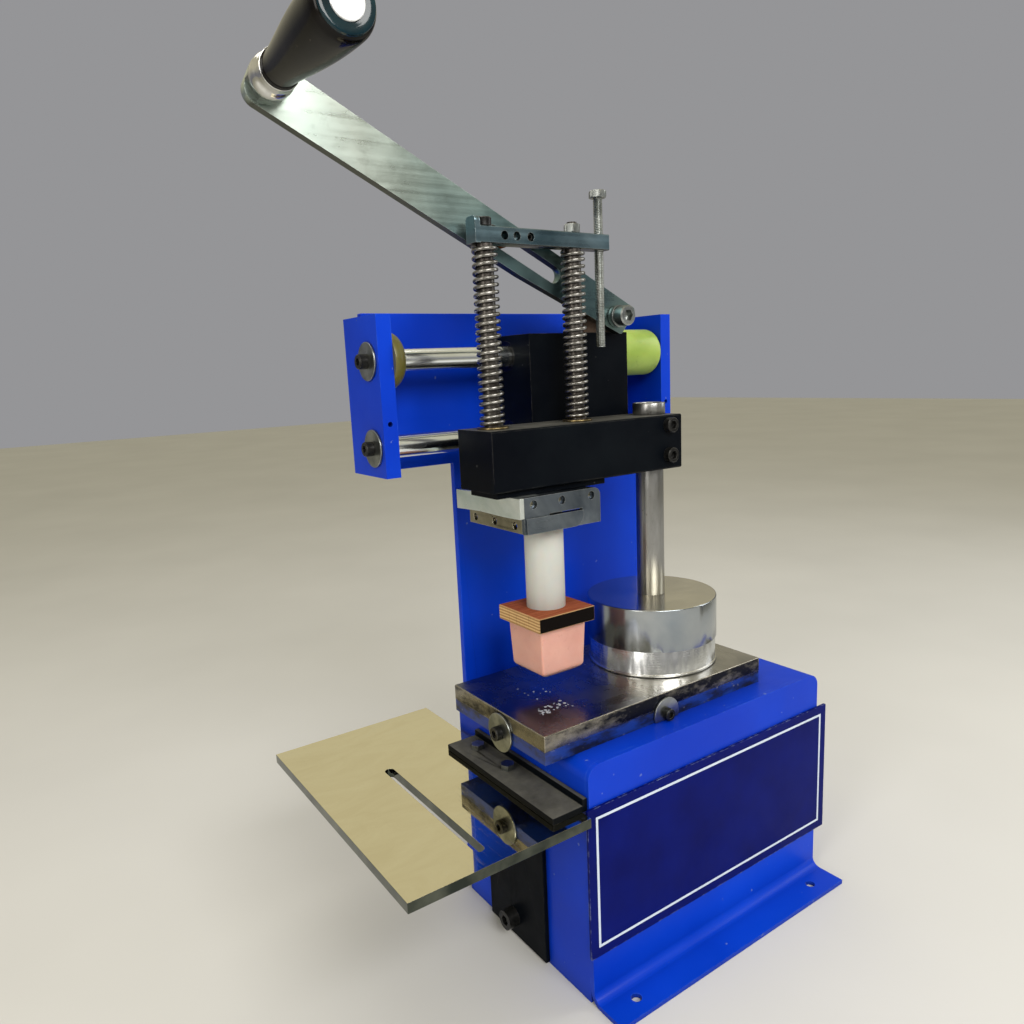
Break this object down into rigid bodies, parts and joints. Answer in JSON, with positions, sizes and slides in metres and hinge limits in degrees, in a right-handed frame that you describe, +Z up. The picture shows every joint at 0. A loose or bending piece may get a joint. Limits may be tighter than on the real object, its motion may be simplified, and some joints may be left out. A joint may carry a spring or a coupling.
{
  "type": "pad printing press",
  "caption": "Hand-lever pad printing press: sprung pad head on a sliding carriage, sealed ink cup on a steel printing plate, side work table.",
  "frame": {"origin": "on the floor at the centre of the four foot bolt holes", "axes": "+X to the operator's right along the rails, +Y to the back, +Z up"},
  "size_m": [0.3602, 0.2125, 0.5358],
  "materials": {
    "blue_paint": "semi-gloss baked enamel",
    "navy_label": "satin printed plate",
    "black_block": "black oxide, oiled",
    "black_screw": "black oxide",
    "bright_steel": "bright plated",
    "ground_rod": "ground and chromed",
    "zinc_steel": "zinc plated, worn",
    "cliche_steel": "ground and etched, ink stained",
    "bed_paint": "dark paint",
    "table_mirror": "mirror polished stainless",
    "cup_aluminium": "polished",
    "ring_steel": "dark ground",
    "bronze": "plain bronze",
    "lug_brown": "dark oxide",
    "mustard_pu": "cast polyurethane",
    "lime_pu": "cast polyurethane",
    "nylon": "turned nylon",
    "plywood": "sawn plywood",
    "silicone": "soft cast silicone",
    "seal_rubber": "seal",
    "magnet": "ferrite",
    "spring_steel": "spring wire",
    "grip_plastic": "glossy moulded",
    "cap_plastic": "dark moulded"
  },
  "bodies": {
    "frame": {"base_shell": "blue_paint", "base_front_panel": "blue_paint", "base_rear_panel": "blue_paint", "column_plate": "blue_paint", "column_bolts": "bright_steel", "rail_end_left": "blue_paint", "rail_end_right": "blue_paint", "guide_rail_upper": "ground_rod", "guide_rail_lower": "ground_rod", "rail_washers": "bright_steel", "rail_screws": "black_screw", "bumper_left": "mustard_pu", "bumper_right": "lime_pu", "bed_plate": "bed_paint", "cliche_plate": "cliche_steel", "cliche_washers": "bright_steel", "cliche_screws": "black_screw", "name_plate": "navy_label", "work_table": "table_mirror", "table_bracket_upper": "black_block", "table_bracket_lower": "black_block", "table_bolts": "bright_steel", "bracket_screws": "zinc_steel"},
    "carriage": {"carriage_block": "black_block", "rail_bushings": "bronze", "front_block": "black_block", "guide_bushings": "bronze", "lever_lug": "lug_brown", "carriage_screws": "black_screw", "pivot_screw": "zinc_steel", "pivot_spacers": "zinc_steel", "cup_rod": "ground_rod", "cup_rod_collar": "bright_steel", "spring_left": "spring_steel", "spring_right": "spring_steel"},
    "lever": {"lever_bar": "zinc_steel", "handle_spindle": "zinc_steel", "handle_ferrule": "ground_rod"},
    "grip": {"handle_grip": "grip_plastic", "grip_end_cap": "cap_plastic"},
    "head": {"top_bar": "zinc_steel", "head_rod_left": "ground_rod", "head_rod_right": "ground_rod", "head_screws": "black_screw", "rod_top_nut": "zinc_steel", "roller_pin": "zinc_steel", "yoke_plate": "black_block", "clamp_front_angle": "zinc_steel", "clamp_side_angle": "zinc_steel", "clamp_upper_angle": "zinc_steel", "clamp_screws": "black_screw", "pad_stem": "nylon", "pad_block": "plywood", "silicone_pad": "silicone"},
    "roller": {"roller": "bronze"},
    "stop": {"stop_screw": "zinc_steel"},
    "ink_cup": {"cup_body": "cup_aluminium", "cup_ring": "ring_steel", "cup_seal": "seal_rubber", "cup_magnet": "magnet"}
  },
  "joints": [
    {"name": "carriage_slide", "type": "slide", "parent": "frame", "child": "carriage", "axis": [1, 0, 0], "range_m": [-0.0787, 0]},
    {"name": "lever_pivot", "type": "hinge", "parent": "carriage", "child": "lever", "pos_m": [-0.0062, 0.011, 0.41121], "axis": [0, -1, 0], "range_deg": [0, 11.2]},
    {"name": "head_slide", "type": "slide", "parent": "carriage", "child": "head", "axis": [0, 0, -1], "range_m": [0, 0.0202], "stiffness_N_per_m": 600, "springref_m": -0.06, "deforming": ["spring_left", "spring_right", "silicone_pad"]},
    {"name": "grip_spin", "type": "hinge", "parent": "lever", "child": "grip", "pos_m": [-0.22942, -0.05, 0.52154], "axis": [0, 1, 0], "continuous": true},
    {"name": "roller_spin", "type": "hinge", "parent": "head", "child": "roller", "pos_m": [-0.0953, 0.011, 0.45525], "axis": [0, 1, 0], "continuous": true},
    {"name": "cup_spin", "type": "hinge", "parent": "carriage", "child": "ink_cup", "pos_m": [0.0124, -0.0026, 0.196], "axis": [0, 0, 1], "continuous": true},
    {"name": "stop_screw_adjust", "type": "slide", "parent": "head", "child": "stop", "axis": [0, 0, 1], "range_m": [-0.015, 0.02]}
  ],
  "couplings": [
    {"joint": "head_slide", "follows": "lever_pivot", "m_per_rad": 0.10229}
  ]
}
